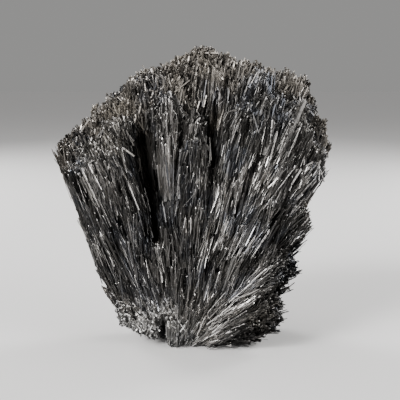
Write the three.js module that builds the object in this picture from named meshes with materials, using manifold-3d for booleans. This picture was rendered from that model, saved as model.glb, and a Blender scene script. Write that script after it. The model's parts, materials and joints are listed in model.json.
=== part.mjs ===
/**
 * Stibnite crystal spray: sheaves of metallic needle crystals that grew out of one root and fan upwards.
 *
 * Millimetres, +Z up. The show face looks towards -Y, with +X on its right. A sheaf is a bundle of crystals
 * that grew together, so it is one solid: the union of long crystal columns that part towards their points.
 * Clefts keep the sheaves apart. All of them start on the root, whose flat broken face rests on the ground.
 */
import * as THREE from 'three';
import { ConvexGeometry } from 'three/addons/geometries/ConvexGeometry.js';
import { mergeVertices } from 'three/addons/utils/BufferGeometryUtils.js';
import Module from 'manifold-3d';

// ---- Driving dimensions ----
const FOCUS = new THREE.Vector3(-6.5, 0, 2); // the point that the crystals radiate from
const CLEFT = 0.34; // gap between one sheaf and the next
const GROUND_CLEARANCE = 0.8; // the lowest crystals stay this far above the ground
// How far a sheaf starts from the focus, per degree of lean.
const ROOT_SPREAD = { left: 0.72, right: 0.4, flank: 0.12 };
const ROOT_RISE = 0.24; // how much higher a sheaf starts, per degree of lean to the left
const ROOT_DEPTH = 0.5; // how far a sheaf starts from the focus, per degree of tilt
const NECK_SHARE = 0.6; // a sheaf's girth where it starts, as a share of its girth at the crown
const DEPTH_SHARE = 1.35; // a sheaf's girth from front to back, as a share of its girth from left to right
const COLUMN_SIDES = 5;
const RING_COLUMNS = 4; // crystal columns round the middle one
const RING_OUT = 0.7; // how far out they stand, as a share of the girth
const COLUMN_WIDE = 0.64; // a column's radius, as a share of the girth
const POINT_SHARE = 0.035; // a crystal's point, as a share of its length
const SHORTEST = 0.88; // the shortest column of a sheaf, as a share of its reach
const LEAST_KEPT = 0.25; // a column that its neighbours leave less than this share of is left out
const STEEL_GREY = 0x8b8985; // clean crystal faces
const WARM_GREY = 0x8f8a82; // weathered crystals
const PALE_GREY = 0x9b9995; // freshly broken crystals

/*
 * The sheaves, row by row from the back to the front. lean is the angle from upright, positive to the right;
 * tilt is the angle from the fan's plane, positive to the back. Each sheaf is [name, lean, reach, girth].
 */
const ROWS = [
  {
    row: 'back', tilt: 11, weathered: true, sheaves: [
      ['left', -23, 92, 11], ['left_middle', -11.5, 101, 11], ['middle', 0.5, 109, 11],
      ['right_middle', 12.5, 111, 11], ['right', 26, 103, 11],
    ],
  },
  {
    row: 'crown', tilt: 0, weathered: true, sheaves: [
      ['left', -26, 96, 9.5], ['left_shoulder', -17, 102, 9], ['left_peak', -7, 110, 9],
      ['summit', 3.8, 119, 9.5], ['right_peak', 14.5, 115, 9.5], ['right_shoulder', 24, 117, 8.5],
      ['right', 32, 104, 8.5],
    ],
  },
  {
    row: 'front', tilt: -10.5, weathered: false, sheaves: [
      ['left', -25.5, 91, 9], ['left_inner', -17, 96, 7], ['finger', -4.5, 103, 5],
      ['middle', 3.5, 93, 5.5], ['right_inner', 16, 115, 7.5], ['right', 25, 110.5, 8.5],
      ['right_outer', 32.5, 98, 7.5],
    ],
  },
];

/* The flank: shorter sheaves low on the right. Each one is [name, lean, tilt, reach, girth]. */
const FLANK = [
  ['upper_back', 39, 13, 73, 10], ['upper', 40.5, -10, 75, 8.5], ['middle_back', 53, 17, 53, 9.5],
  ['middle', 51, -16, 58, 8.5], ['lower_back', 69, 20, 38, 9.5], ['lower_middle', 63, -19, 45, 8.5],
  ['lower', 76, -14, 31, 9],
];

/* The root's outline, as [height, half width to the left, half width to the right, half depth]. */
const ROOT_LEVELS = [
  [0, 4, 28, 12], [4, 15, 27, 13.5], [9, 28, 22, 14], [14, 27, 16, 12.5], [18, 17, 10, 9],
];
const ROOT_SIDES = 14;
const ROOT_SQUARE = 0.6; // how square the root is from above: 1 is an ellipse, 0 a rectangle
const ROOT_SKEW = 0.35; // how much deeper the root is at its left end, as a share of its depth
const ROOT_UNEVEN = 0.1; // how uneven the root's broken surface is, as a share of its width
const ROOT_HOLLOW = 1.06; // the hollow round the root, beside the root itself

const wasm = await Module();
wasm.setup();

/* A repeatable random number from 0 to 1. */
function makeRandom(seed) {
  let state = seed;
  return () => {
    state = (state * 1664525 + 1013904223) % 4294967296;
    return state / 4294967296;
  };
}
const random = makeRandom(83);
const between = (low, high) => low + (high - low) * random();

function solidFrom(geometry) {
  geometry.deleteAttribute('normal');
  geometry.deleteAttribute('uv');
  const merged = mergeVertices(geometry, 1e-4);
  const mesh = new wasm.Mesh({
    numProp: 3,
    vertProperties: merged.attributes.position.array,
    triVerts: new Uint32Array(merged.index.array),
  });
  return new wasm.Manifold(mesh);
}

function geometryFrom(solid) {
  const { vertProperties, triVerts } = solid.getMesh();
  const geometry = new THREE.BufferGeometry();
  geometry.setAttribute('position', new THREE.BufferAttribute(vertProperties, 3));
  geometry.setIndex(new THREE.BufferAttribute(triVerts, 1));
  return geometry;
}

function directionOf(lean, tilt) {
  const a = THREE.MathUtils.degToRad(lean);
  const b = THREE.MathUtils.degToRad(tilt);
  return new THREE.Vector3(Math.sin(a) * Math.cos(b), Math.sin(b), Math.cos(a) * Math.cos(b));
}

/* Where a sheaf runs: its start on the root, its crown and its girth. */
function planSheaf(name, lean, tilt, reach, girth, rootSpread) {
  const rise = ROOT_RISE * Math.max(0, -lean);
  const start = FOCUS.clone().add(new THREE.Vector3(rootSpread * lean, ROOT_DEPTH * tilt, rise));
  const crown = FOCUS.clone().addScaledVector(directionOf(lean, tilt), reach);
  const along = crown.clone().sub(start).normalize();
  return { name, start, crown, along, reach, girth, length: start.distanceTo(crown) };
}

function planAll() {
  const planRow = ({ row, tilt, weathered, sheaves }) => sheaves.map(([name, lean, reach, girth]) => {
    const spread = lean < 0 ? ROOT_SPREAD.left : ROOT_SPREAD.right;
    return { ...planSheaf(`${row}_${name}_sheaf`, lean, tilt, reach, girth, spread), weathered };
  });
  const fan = ROWS.flatMap(planRow);
  const flank = FLANK.map(([name, lean, tilt, reach, girth]) =>
    planSheaf(`flank_${name}_sheaf`, lean, tilt, reach, girth, ROOT_SPREAD.flank));
  return [...fan, ...flank];
}

/* The cleft between two sheaves as a plane: its normal points into the first one. */
function cleftBetween(one, other) {
  const share = one.girth / (one.girth + other.girth);
  const far = Math.min(one.length, other.length);
  const pointAt = (sheaf, distance) => sheaf.start.clone().addScaledVector(sheaf.along, distance);
  const low = one.start.clone().lerp(other.start, share);
  const high = pointAt(one, far).lerp(pointAt(other, far), share);
  const line = high.clone().sub(low).normalize();
  const normal = pointAt(one, far).sub(pointAt(other, far));
  normal.addScaledVector(line, -normal.dot(line)).normalize();
  return { normal, offset: normal.dot(high) + CLEFT / 2 };
}

/* One crystal column: a five-sided prism that widens a little along its length, with a slanted point. */
function makeColumn(base, tip, baseRadius, tipRadius, turn) {
  const along = tip.clone().sub(base).normalize();
  const side = new THREE.Vector3(0, 1, 0).cross(along).normalize();
  const front = along.clone().cross(side);
  const length = base.distanceTo(tip);
  const rim = (distance, radius, depth) => Array.from({ length: COLUMN_SIDES }, (_, k) => {
    const angle = turn + (2 * Math.PI * k) / COLUMN_SIDES;
    return base.clone()
      .addScaledVector(along, distance)
      .addScaledVector(side, radius * Math.cos(angle))
      .addScaledVector(front, radius * depth * Math.sin(angle));
  });
  const depth = DEPTH_SHARE * between(0.85, 1);
  const shoulder = length * (1 - POINT_SHARE * between(0.6, 1.4));
  const point = tip.clone()
    .addScaledVector(side, tipRadius * between(-0.4, 0.4))
    .addScaledVector(front, tipRadius * between(-0.4, 0.4));
  const points = [...rim(0, baseRadius, depth), ...rim(shoulder, tipRadius, depth), point];
  return solidFrom(new ConvexGeometry(points));
}

/* The columns of a sheaf: one in the middle and a ring round it, which parts towards the crown. */
function columnsOf(sheaf) {
  const { start, crown, along, girth } = sheaf;
  const side = new THREE.Vector3(0, 1, 0).cross(along).normalize();
  const front = along.clone().cross(side);
  const turn = between(0, Math.PI);
  const out = (share, angle) => side.clone().multiplyScalar(Math.cos(angle))
    .addScaledVector(front, DEPTH_SHARE * Math.sin(angle))
    .multiplyScalar(share * girth);
  const middle = makeColumn(start, crown, NECK_SHARE * COLUMN_WIDE * girth, COLUMN_WIDE * girth, turn);
  const ring = Array.from({ length: RING_COLUMNS }, (_, k) => {
    const angle = turn + (2 * Math.PI * k) / RING_COLUMNS;
    const base = start.clone().add(out(NECK_SHARE * RING_OUT, angle));
    const top = crown.clone().add(out(RING_OUT, angle)).sub(base).multiplyScalar(between(SHORTEST, 1));
    const width = COLUMN_WIDE * girth * between(0.8, 1);
    return makeColumn(base, base.clone().add(top), NECK_SHARE * width, width, between(0, Math.PI));
  });
  return [middle, ...ring];
}

function makeSheaf(sheaf, sheaves, rootHollow) {
  const ground = { normal: new THREE.Vector3(0, 0, 1), offset: GROUND_CLEARANCE };
  const clefts = sheaves.filter((other) => other !== sheaf).map((other) => cleftBetween(sheaf, other));
  const cuts = [ground, ...clefts];
  const kept = columnsOf(sheaf).map((column) => {
    const whole = column.volume();
    const cut = cuts.reduce(
      (solid, { normal, offset }) => solid.trimByPlane(normal.toArray(), offset), column);
    const clear = cut.subtract(rootHollow);
    return clear.volume() > LEAST_KEPT * whole ? clear : null;
  }).filter(Boolean);
  const bodies = kept.reduce((joined, column) => joined.add(column)).decompose();
  return bodies.reduce((largest, body) => (body.volume() > largest.volume() ? body : largest));
}

/*
 * The root: an uneven mass of crystals grown through each other, broken off flat underneath. Grown a little
 * about its middle, the same shape is the hollow that the sheaves start from.
 */
function makeRoot(growth) {
  const uneven = makeRandom(7);
  const middle = new THREE.Vector3(FOCUS.x, FOCUS.y, ROOT_LEVELS.at(-1)[0] / 2);
  const squared = (value) => Math.sign(value) * Math.abs(value) ** ROOT_SQUARE;
  const points = ROOT_LEVELS.flatMap(([height, left, right, depth]) =>
    Array.from({ length: ROOT_SIDES }, (_, k) => {
      const angle = (2 * Math.PI * (k + 0.5 * uneven())) / ROOT_SIDES;
      const reach = 1 - ROOT_UNEVEN * uneven();
      const across = reach * squared(Math.cos(angle));
      const deep = reach * squared(Math.sin(angle)) * (1 - ROOT_SKEW * across);
      const wide = across < 0 ? left : right;
      return new THREE.Vector3(FOCUS.x + wide * across, FOCUS.y + depth * deep, height);
    }));
  const grown = points.map((point) => point.sub(middle).multiplyScalar(growth).add(middle));
  return solidFrom(new ConvexGeometry(grown));
}

function nodeOf(name, solid, material) {
  const mesh = new THREE.Mesh(geometryFrom(solid), material);
  mesh.name = name;
  return mesh;
}

const metallic = (name, color, roughness) => new THREE.MeshStandardMaterial({
  name, color, roughness, metalness: 0.9, flatShading: true,
});
const cleanCrystal = metallic('stibnite', STEEL_GREY, 0.3);
const weatheredCrystal = metallic('weathered_stibnite', WARM_GREY, 0.42);
const brokenCrystal = metallic('broken_stibnite', PALE_GREY, 0.38);

const spray = new THREE.Group();
spray.name = 'stibnite_crystal_spray';
spray.add(nodeOf('root_mass', makeRoot(1), brokenCrystal));

const rootHollow = makeRoot(ROOT_HOLLOW);
const sheaves = planAll();
for (const sheaf of sheaves) {
  const material = sheaf.weathered ? weatheredCrystal : cleanCrystal;
  spray.add(nodeOf(sheaf.name, makeSheaf(sheaf, sheaves, rootHollow), material.clone()));
}

/* The frame's origin is the middle of the spray's box, on the ground. */
const box = new THREE.Box3().setFromObject(spray);
spray.position.set(-(box.min.x + box.max.x) / 2, -(box.min.y + box.max.y) / 2, -box.min.z);

export default spray;
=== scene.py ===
"""Stibnite crystal spray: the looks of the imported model.

Each solid of the frame is replaced by the needle crystals that it stands for. The solids are blurred into
one rough body first, so that the crystals of neighbouring sheaves grow together. Needles then fill the skin
of that body, each along the way that the crystals grow there. Work is in millimetres until a mesh is made.
"""

import itertools
import json
import math

import bpy
import numpy as np
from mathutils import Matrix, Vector
from mathutils.bvhtree import BVHTree


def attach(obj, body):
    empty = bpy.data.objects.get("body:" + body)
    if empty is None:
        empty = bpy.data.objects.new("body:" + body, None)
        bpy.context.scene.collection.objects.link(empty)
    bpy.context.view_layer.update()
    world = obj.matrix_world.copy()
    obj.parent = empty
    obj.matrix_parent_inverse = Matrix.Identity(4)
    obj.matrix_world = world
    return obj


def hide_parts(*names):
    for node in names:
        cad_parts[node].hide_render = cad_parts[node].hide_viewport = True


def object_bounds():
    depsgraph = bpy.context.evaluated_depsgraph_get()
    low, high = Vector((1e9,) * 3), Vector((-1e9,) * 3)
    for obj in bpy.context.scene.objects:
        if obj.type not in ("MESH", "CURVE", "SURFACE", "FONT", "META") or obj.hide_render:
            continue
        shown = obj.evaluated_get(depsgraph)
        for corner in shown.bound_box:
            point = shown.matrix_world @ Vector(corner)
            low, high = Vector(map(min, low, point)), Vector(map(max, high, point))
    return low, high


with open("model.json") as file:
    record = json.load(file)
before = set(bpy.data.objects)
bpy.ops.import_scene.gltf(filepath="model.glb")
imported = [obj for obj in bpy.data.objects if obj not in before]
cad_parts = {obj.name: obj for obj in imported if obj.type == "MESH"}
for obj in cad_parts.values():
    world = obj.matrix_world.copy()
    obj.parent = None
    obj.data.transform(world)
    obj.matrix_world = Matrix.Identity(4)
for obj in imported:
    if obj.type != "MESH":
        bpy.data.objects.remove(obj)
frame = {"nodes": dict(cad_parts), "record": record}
cad_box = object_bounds()

MM = 0.001

# ---- The body of the spray, in millimetres ----
GRID = 1.25
BODY_MARGIN = 8.0
FINE_BLUR = 1.5  # keeps the shape of the solids
COARSE_BLUR = 3.6  # rounds the ledges between them
# Notches are filled: the body grows to a low value of this blur, then shrinks as far again.
CLOSING_BLUR = 6.0
CLOSING_VALUE = 0.27
# The middle row is filled too, from tip to tip of its sheaves.
CROWN_HALF_DEPTH = 7.0  # this far to the front and to the back
CROWN_NOTCH = 3.0  # up to this far below the line from tip to tip
SURFACE = 0.5  # the depth value at the surface; it goes from 0 outside the body to 1 inside
SKIN = (0.42, 0.88)  # needles are placed between these depth values
OUTSIDE = 0.3  # a needle ends where the depth value falls to this
ROOM_STEP = 0.6  # the steps in which the room for a needle is measured

# ---- The way the crystals grow ----
FOCUS_ACROSS = 0.465  # where they radiate from, as a share of the root's width
FOCUS_HEIGHT = 2.0
SHEAF_BLEND = 5.0  # a sheaf steers the crystals that are about this far from its axis, in millimetres
# Of a sheaf's corners, the share nearest to the focus that is its neck, and the share where its crown starts.
SHEAF_ENDS = (0.15, 0.7)
NECK_APEX = 1.2  # how many lengths behind its neck a sheaf's needles would meet
# In and near the root, crystals run away from a point this far under the focus.
ROOT_APEX_DEPTH = 8.0
ROOT_WEIGHT = 2.0
ROOT_WITHIN = 5.0  # how far round the root's box that is so
ROOT_FLATTEN = (1, 0.3, 1)
FAN_RADIUS = 60.0  # noise that runs along the crystals is read near a sphere of this radius
FAN_STRETCH = 0.18  # with this share of the distance from the focus added
WAVER = 0.11  # how much bundles turn away from the way that they would grow, in radians
WAVER_SIZE = 9.0
# Low on the right, crystals turn outwards and show their ends, beyond a slanted line from the ground.
END_ON_START = 0.7  # where the line starts, as a share of the root's width
END_ON_EDGE = 36.0  # its lean, in degrees
END_ON_WITHIN = 7.0  # over how many millimetres the crystals turn
END_ON_TURN = 1.1
TURN_WITHIN = 4.0  # the turn is full this far to the front or the back of the middle
# They do so in a band below the outline of the crown too, this deep at these leans.
BAND_LEANS = (-36.0, -10.0, 5.0, 11.0, 26.0, 34.0)
BAND_DEPTHS = (13.0, 17.0, 15.0, 3.0, 4.0, 11.0)
BAND_WITHIN = 4.0  # over how many millimetres the band starts
BAND_LAST_LEAN = 50.0
BAND_TURN = 0.35

# ---- Hollows in the show face ----
# Each trough runs between two sheaves, at a share of the way from one to the other. Its low and high end
# are shares of their length; then come its radius and its depth.
TROUGHS = [
    ("front_left_inner_sheaf", "front_finger_sheaf", 0.5, 0.36, 0.86, 3.7, 13.0),
    ("front_left_inner_sheaf", "front_finger_sheaf", 0.5, 0.6, 0.84, 5.4, 11.0),
    ("front_middle_sheaf", "front_right_inner_sheaf", 0.3, 0.74, 1.0, 3.2, 13.0),
]
PIT_ACROSS = 0.345  # the top of the pit over the foot, as shares of the root's width and height
PIT_HEIGHT = 0.42
PIT_TALL = 5.0
PIT_SIZE = (3.7, 13.0)  # its radius and its depth
HOLLOW_EDGE = 0.3  # needles of the skin are placed where a hollow's value, 0 in its middle, is above this

# ---- Crystals that stand out on the show face: sheaf, low and high end, way to the side, radius ----
BLADES = [
    ("front_right_sheaf", 0.78, 0.99, -1.0, 1.0), ("front_right_inner_sheaf", 0.16, 0.38, -1.0, 0.9),
    ("front_right_inner_sheaf", 0.45, 0.6, 3.0, 0.7), ("front_left_inner_sheaf", 0.12, 0.3, 2.0, 0.7),
    ("front_right_outer_sheaf", 0.4, 0.55, 0.0, 0.8), ("front_finger_sheaf", 0.66, 0.9, 0.5, 0.8),
]
# A bundle that stands out: sheaf, low and high end, half width, how far it stands out, needles.
FINGER = ("front_finger_sheaf", 0.5, 0.8, 2.6, 3.4, 90)
FINGER_LENGTH = (0.08, 0.3)  # of its needles, as shares of the sheaf's length
FINGER_RAGGED_LOW = 0.05  # how unevenly its ends break off, as shares of that length
FINGER_RAGGED_HIGH = (-0.08, 0.02)
FINGER_RADIUS = (0.25, 0.5)
FOOT_ACROSS = 0.41  # where a cluster of stubs comes to a point on the ground, as a share of the root's width
FOOT_HEIGHT = 9.0
FOOT_HALF_WIDTH = 1.3
FOOT_RADIUS = (0.35, 0.8)
FOOT_COUNT = 70

# ---- The needles, in millimetres ----
SIDE_DENSITY = 0.9  # needles per cubic millimetre of skin
CROWN_DENSITY = 1.05
BACK_FROM = 8.0  # the back of the spray, from this far behind its middle,
BACK_SHARE = 0.6  # has this share of them
SIDES = 4  # of each needle
UNEVEN = (0.72, 1.12)  # its corners lie at these shares of its radius
BASE_WIDTH = 0.85  # its base has this share of its width
LONGEST_POINT = 0.4  # its point is at most this share of its length
CROWN_FACING = 0.36  # a surface that faces this much along its needles is crown
SIDE_LENGTH = (4.0, 22.0)
SIDE_RADIUS = (0.12, 0.36)
SIDE_FLAT = (0.4, 1.0)  # how deep a needle is, as a share of its width
SIDE_POINT = (0.3, 3.0)  # how long its point is, in radii
SIDE_JITTER = 0.085
SIDE_RELIEF = (2.0, 1.0)  # how far needles stand proud or sink in: bundles of them, and single rows
SIDE_RELIEF_SIZES = (6.0, 2.2)
BUNDLE_SIZE = 4.0
CROWN_LENGTH = (2.5, 8.0)
CROWN_RADIUS = (0.2, 0.58)
CROWN_FLAT = (0.5, 1.0)
CROWN_POINT = (0.2, 1.3)
CROWN_JITTER = 0.3
CROWN_RELIEF = (1.6, 0.96)
CROWN_RELIEF_SIZES = (5.0, 2.4)
CROWN_PROUD = 2.5  # the tips end up to this far out
BLADE_SHARE = 0.012  # of the needles on the sides, the share that are broad blades
BLADE_LENGTH = (10.0, 26.0)
BLADE_RADIUS = (0.5, 0.85)
BLADE_FLAT = 0.35
STRAY_SHARE = 0.06  # and the share that lie across their neighbours
STRAY_LONGEST = 8.0
STRAY_WIDTH = 0.5  # as a share of the others' width
STRAY_PROUD = 0.4
STRAY_JITTER = 0.3
BROKEN_WITHIN = 3.0  # broken stubs cover the root and half of this distance round it,
BROKEN_LEFT = 1.0  # on the left, up to this far before the focus
STUB_LENGTH = (1.2, 4.5)
STUB_RADIUS = (0.28, 0.75)
STUB_POINT = (0.2, 1.5)
STUB_JITTER = 0.4
STUB_RELIEF_SIZE = 4.0
SPLINTER_SPACING = 3.0  # the thick crystals inside a sheaf
SPLINTER_RADIUS = 1.9
SPLINTER_ROWS = 6  # to each side of the middle one
SPLINTER_START = 0.6  # they are placed round the sheaf's axis at this share of its length,
SPLINTER_INSIDE = 0.6  # keep this far inside it there,
SPLINTER_BELOW_CROWN = 3.0  # and end this far below its crown
ROOT_SPACING = 2.6  # the crystals inside the root
ROOT_THINNEST = 5.0  # the root is not filled where it is thinner than this
ROOT_BELOW_TOP = 2.0  # and only up to this far below its top
GROUND = 0.05  # no crystal reaches lower than this

# ---- Studio ----
LENS = 85.0
CAMERA_ELEVATION = 8.0
CAMERA_DISTANCE = 0.386
CAMERA_AIM = (0.02, 0, -0.025)  # from the middle of the spray, as shares of its size
FLOOR_SIZE = 8.0
FLOOR_COLOUR = (0.62, 0.61, 0.6)
SOFTBOXES = [  # name, place, size, power
    ("left", (-0.5, -0.55, 0.35), (0.5, 0.5), 10.0),
    ("right", (0.6, -0.4, 0.25), (0.4, 0.55), 6.3),
    ("top", (0.0, 0.1, 0.9), (0.6, 0.5), 2.5),
    ("back_left", (-0.55, 0.55, 0.4), (0.3, 0.5), 8.0),
    ("back_right", (0.6, 0.45, 0.35), (0.3, 0.5), 8.0),
]
KEY_FROM = (-0.55, -0.65, 0.5)
KEY_STRENGTH = 2.7
KEY_SOFTNESS = 18.0  # the angle that the key light fills, in degrees
FILL_STRENGTH = 0.07
BACKGROUND = (0.3, 0.298, 0.293, 1)

# ---- Tones, from 0 for the darkest crystals to 1 for the lightest ----
SIDE_TONE = 0.38
BUNDLE_CONTRAST = 0.25  # how much bundles differ
NEEDLE_CONTRAST = 0.33  # how much single needles differ
BLADE_DARKER = 0.1
ROOT_LIGHTER = 0.3
ROOT_LIGHTER_WITHIN = 10.0
CROWN_TONE = (0.2, 0.3)  # middle and spread
STUB_TONE = (0.5, 0.27)
BROAD_TONE = 0.6
# The crystals inside the sheaves and the root are near black: painted shade seen through the gaps between the
# needles
SPLINTER_PAINTED_SHADE_TONE = 0.05
ROOT_FILL_PAINTED_SHADE_TONE = 0.1
END_ON_TONE = 0.45  # how light the crystals that show their ends are, as a share of the others
HOLLOW_PAINTED_SHADE_TONE = 0.3  # how light the crystals in and round a hollow are, as a share of the others: painted shade
HOLLOW_PAINTED_SHADE_WIDTH = 1.7  # how many times wider than the hollow that painted shade is
PAINTED_SHADE_PATCHES = [  # patches of painted shade: sheaf, share of its length, radius, how much darker
    ("front_right_inner_sheaf", 0.88, 20.0, 0.8), ("flank_middle_sheaf", 0.9, 15.0, 0.5),
]

# ---- Colours ----
LOOKS = {  # for each slot: its darkest and its lightest colour, share of dust, share of tarnish, roughness
    "stibnite": ((0.04, 0.039, 0.037, 1), (0.83, 0.795, 0.76, 1), 0.35, 0.7, 0.32),
    "weathered_stibnite": ((0.045, 0.041, 0.037, 1), (0.72, 0.665, 0.6, 1), 0.95, 0.4, 0.37),
    "broken_stibnite": ((0.14, 0.137, 0.133, 1), (0.92, 0.9, 0.87, 1), 0.4, 0.4, 0.37),
}
PATCH_SCALE = 70.0  # of the noises
GRAIN_SCALE = 900.0
DUST_SCALE = 45.0
DUST_ROUGHER = 0.14
GRIME = (0.05, 0.047, 0.043, 1)
TARNISH = (0.15, 0.163, 0.195, 1)
DUST = (0.2, 0.177, 0.143, 1)


# ---- Reading the frame ----

def solid_of(name):
    """Corners and triangles of a CAD node, in millimetres."""
    mesh = frame["nodes"][name].data
    mesh.calc_loop_triangles()
    corners = np.empty(len(mesh.vertices) * 3)
    mesh.vertices.foreach_get("co", corners)
    triangles = np.empty(len(mesh.loop_triangles) * 3, np.int32)
    mesh.loop_triangles.foreach_get("vertices", triangles)
    return corners.reshape(-1, 3) / MM, triangles.reshape(-1, 3)


def unit(vectors):
    return vectors / np.linalg.norm(vectors, axis=-1, keepdims=True)


def tree_of(corners, triangles):
    return BVHTree.FromPolygons(corners.tolist(), triangles.tolist())


def owners(solids, points):
    """For each point, the index of the solid that is nearest to it."""
    corners, triangles, ends, count = [], [], [], 0
    for solid_corners, solid_triangles in solids.values():
        corners.append(solid_corners)
        triangles.append(solid_triangles + count)
        count += len(solid_corners)
        ends.append(len(solid_triangles))
    tree = tree_of(np.concatenate(corners), np.concatenate(triangles))
    nearest = [tree.find_nearest(point)[2] for point in points.tolist()]
    return np.searchsorted(np.cumsum(ends), nearest, side="right")


# ---- The body ----

def blurred(values, distance):
    """A Gaussian blur over that distance in millimetres."""
    reach = math.ceil(2.5 * distance / GRID)
    weights = np.exp(-0.5 * (np.arange(-reach, reach + 1) * GRID / distance) ** 2)
    weights /= weights.sum()
    for axis in range(3):
        around = [(reach, reach) if k == axis else (0, 0) for k in range(3)]
        padded = np.pad(values, around)
        length = values.shape[axis]
        values = sum(
            weight * np.take(padded, range(k, k + length), axis=axis) for k, weight in enumerate(weights))
    return values


class Body:
    """The whole spray as one rough body: a grid of depth values, from 0 outside to 1 inside."""

    def __init__(self, solids, growth):
        corners = np.concatenate([solid_corners for solid_corners, _ in solids.values()])
        self.low = corners.min(0) - BODY_MARGIN
        self.counts = np.ceil((corners.max(0) + BODY_MARGIN - self.low) / GRID).astype(int) + 1
        filled = np.zeros(self.counts)
        for solid_corners, triangles in solids.values():
            self.fill(filled, solid_corners, tree_of(solid_corners, triangles))
        filled = np.maximum(filled, growth.below_crown(self.grid()))
        ground = math.ceil((GROUND - self.low[2]) / GRID)
        filled[:, :, :ground] = filled[:, :, ground:ground + 1]
        grown = blurred(filled, CLOSING_BLUR) > CLOSING_VALUE
        closed = blurred(grown, CLOSING_BLUR) > 1 - CLOSING_VALUE
        self.depth = np.maximum(blurred(np.maximum(filled, closed), FINE_BLUR), blurred(filled, COARSE_BLUR))
        self.hollows = []

    def fill(self, filled, corners, tree):
        """Marks the grid points inside a solid, one upright line of them at a time."""
        first = np.ceil((corners.min(0) - self.low) / GRID).astype(int)
        last = np.floor((corners.max(0) - self.low) / GRID).astype(int)
        for i, j in itertools.product(range(first[0], last[0] + 1), range(first[1], last[1] + 1)):
            x, y = self.low[:2] + GRID * np.array([i, j])
            height, entered = corners[:, 2].min() - 1, None
            while True:
                place, normal = tree.ray_cast((x, y, height), (0, 0, 1))[:2]
                if place is None:
                    break
                if normal.z < 0:
                    entered = place.z
                elif entered is not None:
                    bottom, top = (np.array([entered, place.z]) - self.low[2]) / GRID
                    filled[i, j, math.ceil(bottom):math.floor(top) + 1] = 1
                height = place.z + 0.001

    def at(self, points):
        """The depth value at each point."""
        place = np.clip((points - self.low) / GRID, 0, self.counts - 1.001)
        cell = place.astype(int)
        share = place - cell
        total = np.zeros(len(points))
        for corner in itertools.product((0, 1), repeat=3):
            weight = np.where(corner, share, 1 - share).prod(-1)
            total += weight * self.depth[tuple((cell + corner).T)]
        return total

    def normals(self, points):
        """The outward way at each point."""
        steps = GRID * np.eye(3)
        slope = [self.at(points - step) - self.at(points + step) for step in steps]
        return unit(np.stack(slope, axis=1) + 1e-9)

    def room(self, points, ways, most):
        """How far each way runs before it leaves the body, up to most."""
        room = np.zeros(len(points))
        going = np.arange(len(points))
        distance = ROOM_STEP
        while len(going):
            stays = (self.at(points[going] + distance * ways[going]) > OUTSIDE) & (distance < most[going])
            going = going[stays]
            room[going] = distance
            distance += ROOM_STEP
        return np.minimum(room, most)

    def sample_skin(self, per_mm3, random):
        """Points spread evenly through the skin."""
        size = (self.counts - 1) * GRID
        points = self.low + random.random((int(size.prod() * per_mm3), 3)) * size
        depth = self.at(points)
        return points[(depth > SKIN[0]) & (depth < SKIN[1]) & (points[:, 2] > GROUND)]

    def grid(self):
        """The points of the grid."""
        steps = np.meshgrid(*[np.arange(count) for count in self.counts], indexing="ij")
        return self.low + GRID * np.stack(steps, -1)

    def carve(self, hollow):
        self.depth *= hollow.outside(self.grid())

    def front_of(self, point):
        """The point on the front surface that is straight before that one."""
        depths = np.arange(self.low[1], point[1], 0.25)
        line = np.stack([np.full(len(depths), point[0]), depths, np.full(len(depths), point[2])], 1)
        inside = self.at(line) > SURFACE
        return line[np.argmax(inside)] if inside.any() else point


class Hollow:
    """A hollow along a line on the front surface."""

    def __init__(self, start, end, radius, depth):
        self.start, self.end, self.radius = start, end, radius
        self.scale = np.array([1, radius / depth, 1])

    def outside(self, points, widened=1.0):
        """From 0 in the middle of the hollow to 1 outside it."""
        along = (self.end - self.start) * self.scale
        offset = (points - self.start) * self.scale
        share = np.clip(offset @ along / (along @ along), 0, 1)[..., None]
        away = np.linalg.norm(offset - share * along, axis=-1)
        return 1 - np.exp(-(away / (self.radius * widened)) ** 4)


# ---- The way the crystals grow ----

class Sheaf:
    """Where a sheaf runs: from its neck on the root to its crown."""

    def __init__(self, corners, focus):
        reach = np.linalg.norm(corners - focus, axis=1)
        near, far = np.quantile(reach, SHEAF_ENDS)
        neck = corners[reach <= near].mean(0)
        crown = corners[reach >= far].mean(0)
        self.along = unit(crown - neck)
        heights = (corners - neck) @ self.along
        self.neck = neck + self.along * heights.min()
        self.length = heights.max() - heights.min()
        self.apex = self.neck - self.along * self.length * NECK_APEX
        self.side = unit(np.cross([0, 1.0, 0], self.along))

    def point(self, share, aside=0.0):
        """A point on its axis, that share of its length from its neck, and that far to the right."""
        return self.neck + self.along * self.length * share + self.side * aside

    def direction(self, points):
        return unit(points - self.apex)

    def nearness(self, points):
        offset = points - self.neck
        across = offset - (offset @ self.along)[:, None] * self.along
        return np.exp(-(np.linalg.norm(across, axis=1) / SHEAF_BLEND) ** 2) + 1e-6


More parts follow.
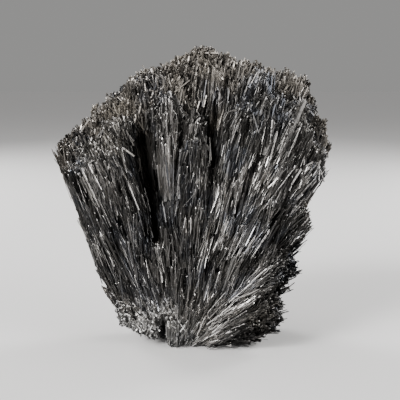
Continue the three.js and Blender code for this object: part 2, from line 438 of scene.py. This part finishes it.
class Growth:
    """Which way the crystals grow at any point: a blend of the sheaves around it, and of the root."""

    def __init__(self, solids):
        root = solids["root_mass"][0]
        self.low, self.high = root.min(0), root.max(0)
        across = self.low[0] + FOCUS_ACROSS * (self.high[0] - self.low[0])
        self.focus = np.array([across, 0.0, FOCUS_HEIGHT])
        self.sheaves = {
            name: Sheaf(corners, self.focus) for name, (corners, _) in solids.items() if name != "root_mass"}
        crown = [sheaf for name, sheaf in self.sheaves.items() if name.startswith("crown")]
        tips = [sheaf.point(1) - self.focus for sheaf in crown]
        outline = sorted((math.degrees(math.atan2(x, z)), math.hypot(x, z)) for x, _, z in tips)
        self.outline_leans, self.outline_reaches = zip(*outline)

    def root_place(self, across, height):
        """The place on the root's middle plane at those shares of its width and height."""
        size = self.high - self.low
        return np.array([self.low[0] + across * size[0], 0.0, height * size[2]])

    def root_share(self, points, within):
        """From 1 at the root's box to 0 that far outside it."""
        away = np.maximum(self.low - points, points - self.high).max(1)
        return np.clip(1 - away / within, 0, 1)

    def end_on(self, points):
        """How far the crystals turn to show their ends, from 0 to 1."""
        edge = math.radians(END_ON_EDGE)
        offset = points - self.root_place(END_ON_START, 0)
        beyond = offset[:, 0] * math.cos(edge) - offset[:, 2] * math.sin(edge)
        return np.clip(beyond / END_ON_WITHIN, 0, 1)

    def in_band(self, points):
        """How far a point is in the band below the outline, from 0 to 1."""
        offset = points - self.focus
        lean = np.degrees(np.arctan2(offset[:, 0], offset[:, 2]))
        reach = np.hypot(offset[:, 0], offset[:, 2])
        outline = np.interp(lean, self.outline_leans, self.outline_reaches)
        start = outline - np.interp(lean, BAND_LEANS, BAND_DEPTHS)
        return np.clip((reach - start) / BAND_WITHIN, 0, 1) * (lean < BAND_LAST_LEAN)

    def below_crown(self, points):
        """Whether a point is in the middle row, under a line from tip to tip of its sheaves."""
        offset = points - self.focus
        lean = np.degrees(np.arctan2(offset[..., 0], offset[..., 2]))
        line = np.interp(lean, self.outline_leans, self.outline_reaches, left=0, right=0) - CROWN_NOTCH
        reach = np.hypot(offset[..., 0], offset[..., 2])
        return (np.abs(offset[..., 1]) < CROWN_HALF_DEPTH) & (reach < line) & (reach > line / 2)

    def direction(self, points):
        sheaves = self.sheaves.values()
        way = sum(sheaf.nearness(points)[:, None] * sheaf.direction(points) for sheaf in sheaves)
        root_way = unit((points - self.focus + [0, 0, ROOT_APEX_DEPTH]) * ROOT_FLATTEN)
        way = unit(unit(way) + ROOT_WEIGHT * self.root_share(points, ROOT_WITHIN)[:, None] * root_way)
        turn = np.maximum(END_ON_TURN * self.end_on(points), BAND_TURN * self.in_band(points))
        turn = turn * np.clip(points[:, 1] / TURN_WITHIN, -1, 1)
        way = way + turn[:, None] * [0, 1, 0]
        waver = np.stack([smooth_noise(self.fanned(points), WAVER_SIZE, seed) for seed in (21, 22, 23)], 1)
        return unit(way + WAVER * waver)

    def fanned(self, points):
        """Points drawn together along the crystals, so that a noise over them runs along the crystals."""
        offset = points - self.focus
        return unit(offset) * (FAN_RADIUS + FAN_STRETCH * np.linalg.norm(offset, axis=1, keepdims=True))


def smooth_noise(points, size, seed):
    """A smooth repeatable noise from about -1 to 1 with features of about that size."""
    random = np.random.default_rng(seed)
    total = np.zeros(len(points))
    waves = 9
    for _ in range(waves):
        way = unit(random.normal(0, 1, 3)) * 2 * math.pi / (size * random.uniform(0.7, 1.6))
        total += np.sin(points @ way + random.uniform(0, 2 * math.pi))
    return total / math.sqrt(waves / 2) / 1.6


def layered_noise(points, heights, sizes, seed):
    """A coarse and a fine noise added up, each with its own height and size."""
    coarse, fine = (smooth_noise(points, size, seed + k) for k, size in enumerate(sizes))
    return heights[0] * coarse + heights[1] * fine


# ---- Needles ----

class Needles:
    """A growing list of needle crystals, each one a closed prism with a pointed or broken end."""

    def __init__(self):
        self.parts = []

    def add(self, base, tip, radius, flat, point, tone, dust):
        count = len(base)
        spread = [np.broadcast_to(value, (count,)) for value in (radius, flat, point, tone, dust)]
        self.parts.append((base, tip, *spread))

    def joined(self):
        return [np.concatenate(values) for values in zip(*self.parts)]


def between(random, span, count):
    return random.uniform(span[0], span[1], count)


def jittered(ways, amount, random):
    return unit(ways + amount * random.normal(0, 1, ways.shape))


def toned(body, growth, points, tone):
    """Darker in the hollows and in the listed patches, both painted shade, and where crystals show their
    ends.
    """
    # painted shade in each patch
    for name, share, radius, darker in PAINTED_SHADE_PATCHES:
        away = np.linalg.norm(points - growth.sheaves[name].point(share), axis=1)
        tone = tone * (1 - darker * np.exp(-(away / radius) ** 2))
    tone = tone * (1 + (END_ON_TONE - 1) * growth.end_on(points))
    # painted shade in and round each hollow
    for hollow in body.hollows:
        tone = tone * (HOLLOW_PAINTED_SHADE_TONE + (1 - HOLLOW_PAINTED_SHADE_TONE) * hollow.outside(points, HOLLOW_PAINTED_SHADE_WIDTH))
    return np.clip(tone, 0, 1)


def grow_sides(needles, body, growth, points, random):
    """Needles along the sides, in bundles that stand proud or sink in, with blades and strays among them."""
    count = len(points)
    kind = random.random(count)
    blade = kind < BLADE_SHARE
    stray = kind > 1 - STRAY_SHARE
    length = between(random, SIDE_LENGTH, count) * random.uniform(0.3, 1, count)
    length = np.where(blade, between(random, BLADE_LENGTH, count), length)
    length = np.where(stray, np.minimum(length, STRAY_LONGEST), length)
    radius = between(random, SIDE_RADIUS, count) * np.where(stray, STRAY_WIDTH, 1)
    radius = np.where(blade, between(random, BLADE_RADIUS, count), radius)
    flat = np.where(blade, BLADE_FLAT, between(random, SIDE_FLAT, count))
    jitter = np.where(stray, STRAY_JITTER, SIDE_JITTER)[:, None]
    ways = jittered(growth.direction(points), jitter, random)
    fanned = growth.fanned(points)
    relief = layered_noise(fanned, SIDE_RELIEF, SIDE_RELIEF_SIZES, 5)
    relief += np.where(stray, STRAY_PROUD, 0)
    bundle = smooth_noise(fanned, BUNDLE_SIZE, 7)
    tone = SIDE_TONE + BUNDLE_CONTRAST * bundle + NEEDLE_CONTRAST * random.normal(0, 1, count)
    tone = tone - BLADE_DARKER * blade + ROOT_LIGHTER * growth.root_share(points, ROOT_LIGHTER_WITHIN)
    tone = toned(body, growth, points, tone)
    dust = random.random(count) ** 3
    middles = points + body.normals(points) * relief[:, None]
    shift = middles - points
    half = length / 2
    ahead = body.room(points, ways, half)
    behind = body.room(points, -ways, half)
    values = (
        points - ways * behind[:, None] + shift, points + ways * ahead[:, None] + shift,
        radius, flat, between(random, SIDE_POINT, count), tone, dust,
    )
    long_enough = ahead + behind > 3 * radius
    needles.add(*(value[long_enough] for value in values))


def grow_crown(needles, body, growth, points, random):
    """Stubby tips that end at uneven heights over the crown."""
    count = len(points)
    ways = jittered(growth.direction(points), CROWN_JITTER, random)
    length = between(random, CROWN_LENGTH, count)
    radius = between(random, CROWN_RADIUS, count)
    relief = layered_noise(points, CROWN_RELIEF, CROWN_RELIEF_SIZES, 11)
    room = body.room(points, ways, np.full(count, 3.0)) - 1.2
    tips = points + ways * np.minimum(room, random.uniform(0, CROWN_PROUD, count))[:, None]
    tips = tips + ways * relief[:, None]
    tone = toned(body, growth, points, random.normal(*CROWN_TONE, count))
    dust = random.uniform(0.3, 1, count)
    flat = between(random, CROWN_FLAT, count)
    point = between(random, CROWN_POINT, count)
    needles.add(tips - ways * length[:, None], tips, radius, flat, point, tone, dust)


def grow_stubs(needles, body, growth, points, random):
    """Broken stubs at the foot, which lie every way."""
    count = len(points)
    ways = jittered(growth.direction(points), STUB_JITTER, random)
    length = between(random, STUB_LENGTH, count)[:, None]
    radius = between(random, STUB_RADIUS, count)
    middle = points + body.normals(points) * smooth_noise(points, STUB_RELIEF_SIZE, 13)[:, None]
    tone = toned(body, growth, points, random.normal(*STUB_TONE, count))
    flat = between(random, CROWN_FLAT, count)
    point = between(random, STUB_POINT, count)
    base, tip = middle - ways * length / 2, middle + ways * length / 2
    needles.add(base, tip, radius, flat, point, tone, random.random(count) ** 2)


def grow_blades(needles, body, growth, random):
    """The broad blades that stand out on the show face."""
    for name, low, high, aside, radius in BLADES:
        sheaf = growth.sheaves[name]
        base = body.front_of(sheaf.point(low, aside)) - [0, 0.5 * radius, 0]
        tip = base + sheaf.along * sheaf.length * (high - low)
        needles.add(base[None], tip[None], radius, 0.5, 1.0, BROAD_TONE, random.random() ** 2)


def grow_finger(needles, body, growth, random):
    """A bundle that stands out of the show face and ends in a broken lower end."""
    name, low, high, half_width, proud, count = FINGER
    sheaf = growth.sheaves[name]
    for _ in range(count):
        place = random.uniform(-1, 1)
        start = low + random.exponential(FINGER_RAGGED_LOW)
        end = min(start + random.uniform(*FINGER_LENGTH), high + random.uniform(*FINGER_RAGGED_HIGH))
        ends = [body.front_of(sheaf.point(share, place * half_width)) for share in (start, end)]
        out = np.array([0, -proud * (1 - place ** 2) * random.uniform(0.1, 1), 0])
        base, tip = (end + out + random.normal(0, 0.6, 3) for end in ends)
        needles.add(
            base[None], tip[None], random.uniform(*FINGER_RADIUS), random.uniform(0.5, 1),
            random.uniform(0.3, 2), random.uniform(0.1, 1), random.random() ** 2,
        )


def grow_foot(needles, body, growth, random):
    """A cluster of pale stubs beside the pit that comes to a point on the ground."""
    top = body.front_of(growth.root_place(FOOT_ACROSS, 0) + [0, 0, FOOT_HEIGHT])
    ground = np.array([top[0] - 1.0, top[1] + 0.5, GROUND])
    for _ in range(FOOT_COUNT):
        high, low = sorted(random.uniform(0, 1, 2), reverse=True)
        wide = random.normal(0, FOOT_HALF_WIDTH, 3) * [1, 0.6, 0.3]
        base = ground + (top - ground) * low + wide * low
        tip = ground + (top - ground) * min(high + 0.25, 1.1) + wide * high
        needles.add(
            tip[None], base[None], random.uniform(*FOOT_RADIUS), random.uniform(0.5, 1),
            random.uniform(0.5, 2), random.uniform(0.5, 1), random.random() ** 2,
        )


def grow_splinters(needles, sheaf, tree, random):
    """Long thick crystals through the inside of a sheaf, so that nothing shows through it; their near-black
    colour is painted shade in the gaps between the needles.
    """
    side = unit(np.cross(sheaf.along, [0, 1.0, 0]))
    front = np.cross(side, sheaf.along)
    steps = np.arange(-SPLINTER_ROWS, SPLINTER_ROWS + 1) * SPLINTER_SPACING
    grid = np.array([a * side + b * front for a in steps for b in steps])
    middles = sheaf.point(SPLINTER_START) + grid + random.normal(0, 0.3, grid.shape)
    for start in middles:
        way = sheaf.direction(start)
        up = tree.ray_cast(start.tolist(), way.tolist())
        down = tree.ray_cast(start.tolist(), (-way).tolist())
        if up[0] is None or Vector(way).dot(up[1]) < 0 or down[0] is None:
            continue
        nearest = tree.find_nearest(start.tolist())[3]
        radius = min(SPLINTER_RADIUS, nearest - SPLINTER_INSIDE)
        base = start - way * (down[3] - 0.5)
        tip = start + way * (up[3] - SPLINTER_BELOW_CROWN)
        if radius > 0.5 and np.linalg.norm(tip - base) > 4 * radius:
            needles.add(base[None], tip[None], radius, 0.9, 1.0, SPLINTER_PAINTED_SHADE_TONE, 0.0)


def fill_root(needles, body, corners, tree, random):
    """Upright crystals packed through the root; their broken ends are its flat underside, and their
    near-black colour is painted shade.
    """
    lowest, highest = corners.min(0), corners.max(0)
    for x in np.arange(lowest[0], highest[0], ROOT_SPACING):
        for y in np.arange(lowest[1], highest[1], ROOT_SPACING):
            under = tree.ray_cast((x, y, -1.0), (0, 0, 1))
            over = tree.ray_cast((x, y, highest[2] + 1), (0, 0, -1))
            if under[0] is None or over[0].z - under[0].z < ROOT_THINNEST:
                continue
            middle = np.array([x, y, (under[0].z + over[0].z) / 2])
            if tree.find_nearest(middle.tolist())[3] < ROOT_SPACING:
                continue
            if any(hollow.outside(middle) < 0.8 for hollow in body.hollows):
                continue
            base = np.array([[x, y, max(under[0].z + 0.2, GROUND)]])
            tip = np.array([[x, y, over[0].z - ROOT_BELOW_TOP]]) + random.normal(0, 0.2, 3)
            needles.add(base, tip, 0.6 * ROOT_SPACING, 1.0, 0.6, ROOT_FILL_PAINTED_SHADE_TONE, 0.0)


def make_mesh(name, values, sides, random):
    """Builds all the needles of a piece as one mesh, with a map cell and its own colour values for each."""
    base, tip, radius, flat, point, tone, dust = values
    count = len(base)
    along = tip - base
    length = np.linalg.norm(along, axis=1)
    along = along / length[:, None]
    helper = np.where(np.abs(along[:, 2:]) < 0.9, [[0, 0, 1.0]], [[1.0, 0, 0]])
    across = unit(np.cross(along, helper))
    deep = np.cross(along, across)
    roll = random.uniform(0, math.pi, (count, 1, 1))
    angle = 2 * math.pi * np.arange(sides)[None, :, None] / sides
    uneven = between(random, UNEVEN, (count, sides, 1))
    x = np.cos(angle) * uneven
    y = np.sin(angle) * uneven * flat[:, None, None]
    turned = (
        (x * np.cos(roll) - y * np.sin(roll)) * across[:, None]
        + (x * np.sin(roll) + y * np.cos(roll)) * deep[:, None]
    ) * radius[:, None, None]
    point_length = np.minimum(point * radius, LONGEST_POINT * length)
    shoulder = base + along * (length - point_length)[:, None]
    slant = (turned * random.dirichlet(np.full(sides, 0.5), count)[:, :, None]).sum(1)
    corners = np.concatenate(
        [base[:, None] + turned * BASE_WIDTH, shoulder[:, None] + turned, (tip + slant)[:, None]], axis=1
    )
    corners[:, :, 2] = np.maximum(corners[:, :, 2], GROUND)
    per_needle = 2 * sides + 1

    k = np.arange(sides)
    after = (k + 1) % sides
    quads = np.stack([k, after, sides + after, sides + k], axis=1).ravel()
    tips = np.stack([sides + k, sides + after, np.full(sides, 2 * sides)], axis=1).ravel()
    loops = np.concatenate([quads, tips, k[::-1]])
    sizes = np.concatenate([np.full(sides, 4), np.full(sides, 3), [sides]])
    starts = np.concatenate([[0], np.cumsum(sizes)[:-1]])

    mesh = bpy.data.meshes.new(name)
    mesh.vertices.add(count * per_needle)
    mesh.vertices.foreach_set("co", (corners * MM).astype(np.float32).ravel())
    mesh.loops.add(count * len(loops))
    first_corner = np.arange(count)[:, None] * per_needle
    mesh.loops.foreach_set("vertex_index", (first_corner + loops).astype(np.int32).ravel())
    mesh.polygons.add(count * len(sizes))
    first_loop = np.arange(count)[:, None] * len(loops)
    mesh.polygons.foreach_set("loop_start", (first_loop + starts).astype(np.int32).ravel())
    mesh.update(calc_edges=True)
    mesh.shade_flat()
    layer = mesh.uv_layers.new(name="OFBake")
    layer.data.foreach_set("uv", map_cells(count, sides).astype(np.float32).ravel())
    values = np.stack([tone, random.random(count), dust, np.ones(count)], 1)
    attribute = mesh.attributes.new("needle", "FLOAT_COLOR", "POINT")
    attribute.data.foreach_set("color", np.repeat(values, per_needle, axis=0).astype(np.float32).ravel())
    return mesh


def map_cells(count, sides):
    """A square cell of the colour map for each needle, with its base below its sides and its point on top."""
    cap = 0.07
    inset, inner = 0.06, 0.88
    k = np.arange(sides)
    left, right, level = k / sides, (k + 1) / sides, np.ones(sides)
    low, middle, high = 0.1 * level, 0.8 * level, 1.0 * level
    side_map = np.stack([left, low, right, low, right, middle, left, middle], 1)
    tip_map = np.stack([left, middle, right, middle, (left + right) / 2, high], 1)
    round_cap = k[::-1] / (sides - 1)
    cap_map = np.stack([round_cap, cap * np.sin(math.pi * round_cap)], 1)
    cell_map = np.concatenate([side_map.ravel(), tip_map.ravel(), cap_map.ravel()]).reshape(-1, 2)
    columns = math.ceil(math.sqrt(count))
    cell = np.stack([np.arange(count) % columns, np.arange(count) // columns], 1)[:, None]
    return (cell + inset + inner * cell_map[None]) / columns


# ---- Materials ----

def node(tree, kind, inputs=None, **settings):
    """Adds a node, sets its settings, and links or sets each of its inputs."""
    made = tree.nodes.new(kind)
    for key, value in settings.items():
        setattr(made, key, value)
    for key, value in (inputs or {}).items():
        if isinstance(value, bpy.types.NodeSocket):
            tree.links.new(value, made.inputs[key])
        else:
            made.inputs[key].default_value = value
    return made


def mixed(tree, factor, first, second):
    """A colour between two colours."""
    made = node(tree, "ShaderNodeMix", {"Factor": factor, 6: first, 7: second}, data_type="RGBA")
    return made.outputs[2]


def ranged(tree, value, low, high, to_low, to_high):
    return node(tree, "ShaderNodeMapRange", {
        "Value": value, "From Min": low, "From Max": high, "To Min": to_low, "To Max": to_high,
    }).outputs["Result"]


def multiplied(tree, first, second):
    return node(tree, "ShaderNodeMath", {0: first, 1: second}, operation="MULTIPLY").outputs[0]


def noise(tree, where, scale, detail, seed):
    return node(
        tree, "ShaderNodeTexNoise", {"Vector": where, "Scale": scale, "Detail": detail, "W": seed},
        noise_dimensions="4D",
    ).outputs["Fac"]


def stibnite(name, dark, light, dust_share, tarnish_share, roughness):
    """Steel-grey metallic crystal with bluish tarnish and beige dust in patches."""
    material = bpy.data.materials.new(name)
    material.use_nodes = True
    tree = material.node_tree
    shader = tree.nodes["Principled BSDF"]
    where = node(tree, "ShaderNodeTexCoord").outputs["Object"]
    needle = node(tree, "ShaderNodeAttribute", attribute_name="needle").outputs["Color"]
    tone, chance, own_dust = node(tree, "ShaderNodeSeparateColor", {"Color": needle}).outputs[:3]

    patches = noise(tree, where, PATCH_SCALE, 3.0, 1.0)
    grain = noise(tree, where, GRAIN_SCALE, 3.0, 2.0)
    dusty = noise(tree, where, DUST_SCALE, 2.0, 3.0)
    # each needle's tone also carries painted shade: of the hollows, of the patches and of the crystals inside
    steel = mixed(tree, tone, dark, light)
    worn = mixed(tree, ranged(tree, grain, 0.42, 0.72, 0.0, 0.6), steel, GRIME)
    tarnish = multiplied(tree, ranged(tree, patches, 0.5, 0.6, 0.0, tarnish_share), chance)
    blued = mixed(tree, tarnish, worn, TARNISH)
    dust = multiplied(tree, ranged(tree, dusty, 0.42, 0.66, 0.0, dust_share), own_dust)
    colour = mixed(tree, dust, blued, DUST)
    tree.links.new(colour, shader.inputs["Base Color"])
    tree.links.new(ranged(tree, dust, 0.0, 1.0, 1.0, 0.2), shader.inputs["Metallic"])
    smooth = ranged(tree, grain, 0.3, 0.7, roughness - 0.08, roughness + 0.16)
    dulled = node(
        tree, "ShaderNodeMath", {0: smooth, 1: multiplied(tree, own_dust, DUST_ROUGHER)}, operation="ADD")
    tree.links.new(dulled.outputs[0], shader.inputs["Roughness"])
    bump = node(tree, "ShaderNodeBump", {"Strength": 0.35, "Distance": 0.0001, "Height": grain})
    tree.links.new(bump.outputs["Normal"], shader.inputs["Normal"])
    return material


def matte(name, colour):
    material = bpy.data.materials.new(name)
    material.use_nodes = True
    shader = material.node_tree.nodes["Principled BSDF"]
    shader.inputs["Base Color"].default_value = (*colour, 1)
    shader.inputs["Roughness"].default_value = 1.0
    shader.inputs["Specular IOR Level"].default_value = 0.0
    return material


# ---- Studio ----

def add_floor():
    bpy.ops.mesh.primitive_plane_add(size=FLOOR_SIZE, location=(0, 0, -0.0002))
    floor = bpy.context.object
    floor.name = "floor"
    floor.data.materials.append(matte("pale_floor", FLOOR_COLOUR))
    floor.visible_glossy = False  # so that the crystals keep the contrast that a dark surface gives them


def add_light(kind, name, place, aim, power):
    light = bpy.data.lights.new(name, kind)
    light.energy = power
    lamp = bpy.data.objects.new(name, light)
    lamp.location = place
    lamp.rotation_euler = (Vector(aim) - Vector(place)).to_track_quat("-Z", "Y").to_euler()
    bpy.context.scene.collection.objects.link(lamp)
    return light


def add_softbox(name, place, aim, size, power):
    light = add_light("AREA", name, place, aim, power)
    light.shape = "RECTANGLE"
    light.size, light.size_y = size


def add_studio():
    lowest, highest = cad_box
    middle = (lowest + highest) / 2
    key = add_light("SUN", "key", middle + Vector(KEY_FROM), middle, KEY_STRENGTH)
    key.angle = math.radians(KEY_SOFTNESS)
    for name, place, size, power in SOFTBOXES:
        add_softbox(name, place, middle, size, power)
    add_surroundings()


def add_surroundings():
    """Dim surroundings that light the spray a little; seen by the camera, they are as pale as the floor."""
    world = bpy.data.worlds.new("studio")
    world.use_nodes = True
    tree = world.node_tree
    dim = tree.nodes["Background"]
    dim.inputs["Color"].default_value = (0.8, 0.8, 0.8, 1)
    dim.inputs["Strength"].default_value = FILL_STRENGTH
    seen = node(tree, "ShaderNodeBackground", {"Color": BACKGROUND, "Strength": 1.0})
    ray = node(tree, "ShaderNodeLightPath").outputs["Is Camera Ray"]
    both = node(tree, "ShaderNodeMixShader", {0: ray, 1: dim.outputs[0], 2: seen.outputs[0]})
    tree.links.new(both.outputs[0], tree.nodes["World Output"].inputs["Surface"])
    bpy.context.scene.world = world


def add_camera():
    lowest, highest = cad_box
    size = highest - lowest
    target = (lowest + highest) / 2 + Vector(CAMERA_AIM) * size
    rise = math.radians(CAMERA_ELEVATION)
    camera = bpy.data.objects.new("camera", bpy.data.cameras.new("camera"))
    camera.data.lens = LENS
    camera.data.clip_start = 0.01
    camera.location = target + CAMERA_DISTANCE * Vector((0, -math.cos(rise), math.sin(rise)))
    camera.rotation_euler = (target - camera.location).to_track_quat("-Z", "Y").to_euler()
    bpy.context.scene.collection.objects.link(camera)
    bpy.context.scene.camera = camera


# ---- The spray ----

def grow_skin(body, growth):
    """All the needles in the skin of the body."""
    random = np.random.default_rng(7)
    needles = Needles()
    points = body.sample_skin(CROWN_DENSITY, random)
    points = points[(random.random(len(points)) < BACK_SHARE) | (points[:, 1] < BACK_FROM)]
    for hollow in body.hollows:
        points = points[hollow.outside(points) > HOLLOW_EDGE]
    facing = (growth.direction(points) * body.normals(points)).sum(1)
    in_root = growth.root_share(points, BROKEN_WITHIN) > 0.5
    broken = in_root & (points[:, 0] < growth.focus[0] - BROKEN_LEFT)
    crown = (facing > CROWN_FACING) & ~broken
    sides = ~crown & ~broken & (random.random(len(points)) < SIDE_DENSITY / CROWN_DENSITY)
    grow_sides(needles, body, growth, points[sides], random)
    grow_crown(needles, body, growth, points[crown], random)
    grow_stubs(needles, body, growth, points[broken], random)
    grow_blades(needles, body, growth, random)
    grow_finger(needles, body, growth, random)
    grow_foot(needles, body, growth, random)
    return needles.joined()


def add_hollows(body, growth):
    """The troughs between sheaves and the pit over the foot."""
    for left, right, across, low, high, radius, depth in TROUGHS:
        pair = [growth.sheaves[name] for name in (left, right)]
        ends = [pair[0].point(share) * (1 - across) + pair[1].point(share) * across for share in (low, high)]
        body.hollows.append(Hollow(*(body.front_of(end) for end in ends), radius, depth))
    pit = body.front_of(growth.root_place(PIT_ACROSS, PIT_HEIGHT))
    body.hollows.append(Hollow(pit - [0, 0, PIT_TALL], pit, *PIT_SIZE))
    for hollow in body.hollows:
        body.carve(hollow)


def add_piece(name, mesh, material):
    piece = bpy.data.objects.new(name, mesh)
    mesh.materials.append(material)
    bpy.context.scene.collection.objects.link(piece)
    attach(piece, "root")
    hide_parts(name.removesuffix("_needles"))


def main():
    solids = {name: solid_of(name) for name in sorted(frame["nodes"])}
    slots = {part["node"]: part["material_slot"] for part in frame["record"]["subparts"]}
    materials = {slot: stibnite(slot, *look) for slot, look in LOOKS.items()}
    growth = Growth(solids)
    body = Body(solids, growth)
    add_hollows(body, growth)
    skin = grow_skin(body, growth)
    middles = (skin[0] + skin[1]) / 2
    owner = owners(solids, middles)

    for index, (name, (corners, triangles)) in enumerate(solids.items()):
        random = np.random.default_rng(index + 100)
        tree = tree_of(corners, triangles)
        inner = Needles()
        if name == "root_mass":
            fill_root(inner, body, corners, tree, random)
        else:
            grow_splinters(inner, growth.sheaves[name], tree, random)
        outer = [value[owner == index] for value in skin]
        values = [np.concatenate(both) for both in zip(outer, inner.joined())]
        above = (values[0][:, 2] > GROUND - 1) & (values[1][:, 2] > GROUND + 0.5)
        mesh = make_mesh(f"{name}_needles", [value[above] for value in values], SIDES, random)
        add_piece(f"{name}_needles", mesh, materials[slots[name]])

    add_floor()
    add_studio()
    add_camera()


main()
